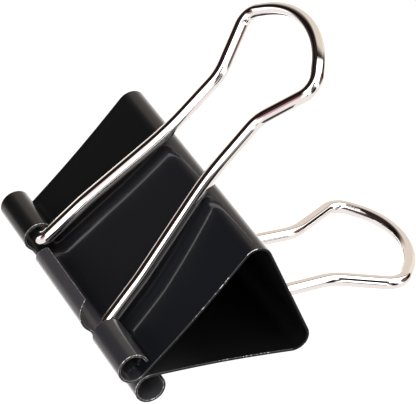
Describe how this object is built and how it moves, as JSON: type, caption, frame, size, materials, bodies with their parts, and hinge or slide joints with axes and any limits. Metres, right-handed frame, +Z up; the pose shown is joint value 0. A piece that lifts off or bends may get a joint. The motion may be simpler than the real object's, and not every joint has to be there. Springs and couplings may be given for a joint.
{
  "type": "binder clip",
  "caption": "Foldback binder clip: a sprung steel prism with rolled lips that grip a stack of sheets, and two bent wire handles that swing over the jaws.",
  "frame": {"origin": "middle of the bounding box's base, on the surface that the clip lies on", "axes": "+Z up, +Y along the width, +X from the mouth to the spine and the handles' loops, for a clip that lies on its lower barrels and its lower handle"},
  "size_m": [0.0648, 0.051, 0.0497],
  "materials": {
    "black_enamel": "glossy black enamel over spring steel",
    "plated_wire": "bright nickel plating over steel wire"
  },
  "bodies": {
    "spine": {"spine": "black_enamel"},
    "upper_jaw": {"upper_jaw": "black_enamel"},
    "lower_jaw": {"lower_jaw": "black_enamel"},
    "upper_handle": {"upper_handle": "plated_wire"},
    "lower_handle": {"lower_handle": "plated_wire"}
  },
  "joints": [
    {"name": "upper_jaw_flex", "type": "hinge", "parent": "spine", "child": "upper_jaw", "pos_m": [-0.00857, 0, 0.0225], "axis": [0, 1, 0], "range_deg": [0, 24], "stiffness_Nm_per_rad": 3},
    {"name": "lower_jaw_flex", "type": "hinge", "parent": "spine", "child": "lower_jaw", "pos_m": [-0.00131, 0, 0.00589], "axis": [0, -1, 0], "range_deg": [0, 24], "stiffness_Nm_per_rad": 3},
    {"name": "upper_handle_swing", "type": "hinge", "parent": "upper_jaw", "child": "upper_handle", "pos_m": [-0.0296, 0.0003, 0.00723], "axis": [0, -1, 0], "range_deg": [0, 156]},
    {"name": "lower_handle_swing", "type": "hinge", "parent": "lower_jaw", "child": "lower_handle", "pos_m": [-0.0268, 0.0003, 0.00195], "axis": [0, 1, 0], "range_deg": [0, 158]}
  ],
  "couplings": [
    {"joint": "lower_jaw_flex", "follows": "upper_jaw_flex", "ratio": 1}
  ]
}
